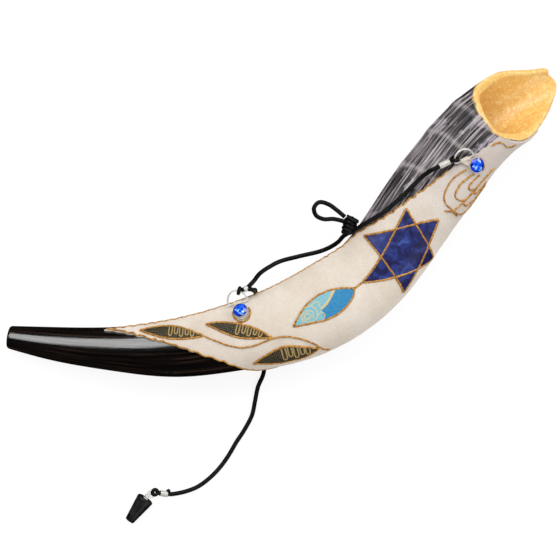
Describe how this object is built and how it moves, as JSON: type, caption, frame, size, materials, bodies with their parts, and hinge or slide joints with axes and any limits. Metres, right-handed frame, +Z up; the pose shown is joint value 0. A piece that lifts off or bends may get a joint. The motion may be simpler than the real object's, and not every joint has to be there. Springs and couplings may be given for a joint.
{
  "type": "shofar",
  "caption": "Curved ram's horn trumpet with a decorated leather cover, a carrying cord on hinged D-rings and a mouthpiece stopper on its own cord.",
  "frame": {"origin": "on the surface that the horn lies on, below the middle of its bounding box without the cords and the stopper", "axes": "+X along the length from the mouth to the bell, +Y across towards the side that the horn curves to, +Z up out of the surface"},
  "size_m": [0.3763, 0.3118, 0.0558],
  "materials": {
    "horn": "polished dark ram's horn, rough and grey on its natural side, gold painted inside the bell",
    "leather": "matt cream leather with a fine grain",
    "gilt": "raised gold relief paint",
    "lapis": "thin dark blue mottled leather",
    "turquoise": "thin turquoise leather with gold print",
    "printed": "thin dark brown leather with fine gold print",
    "steel": "bright nickel plated wire",
    "crystal": "faceted sapphire blue crystal",
    "cord": "black waxed round leather cord",
    "plug": "satin black rubber"
  },
  "bodies": {
    "horn_body": {"horn": "horn", "leather_cover": "leather", "upper_edge_gilt": "gilt", "bell_edge_gilt": "gilt", "lower_edge_gilt": "gilt", "star_gilt": "gilt", "star_centre": "lapis", "star_point_1": "lapis", "star_point_2": "lapis", "star_point_3": "lapis", "star_point_4": "lapis", "star_point_5": "lapis", "star_point_6": "lapis", "turquoise_leaf": "turquoise", "turquoise_leaf_gilt": "gilt", "dark_leaf_1": "printed", "dark_leaf_1_gilt": "gilt", "dark_leaf_2": "printed", "dark_leaf_2_gilt": "gilt", "dark_leaf_3": "printed", "dark_leaf_3_gilt": "gilt", "vine_gilt": "gilt", "menorah_gilt": "gilt", "mouth_ring_tab": "leather", "mouth_stone_setting": "steel", "mouth_stone": "crystal", "mouth_stone_gilt": "gilt", "bell_ring_tab": "leather", "bell_stone_setting": "steel", "bell_stone": "crystal", "bell_stone_gilt": "gilt", "carry_cord_mouth_half": "cord", "carry_cord_bell_half": "cord", "bow_loop": "cord", "cord_knot": "cord", "stopper_cord": "cord", "stopper_cord_eye": "cord", "stopper_crimp": "steel", "jump_ring": "steel", "screw_eye": "steel", "stopper_plug": "plug"},
    "mouth_ring": {"mouth_d_ring": "steel", "mouth_cord_eye": "cord", "mouth_crimp": "steel"},
    "bell_ring": {"bell_d_ring": "steel", "bell_cord_eye": "cord", "bell_crimp": "steel"}
  },
  "joints": [
    {"name": "mouth_ring_hinge", "type": "hinge", "parent": "horn_body", "child": "mouth_ring", "pos_m": [-0.02959, -0.05495, 0.03949], "axis": [0.9512, 0.268, 0.153], "range_deg": [-55, 45]},
    {"name": "bell_ring_hinge", "type": "hinge", "parent": "horn_body", "child": "bell_ring", "pos_m": [0.12272, 0.04163, 0.04931], "axis": [0.899, 0.434, -0.058], "range_deg": [-30, 60]}
  ]
}
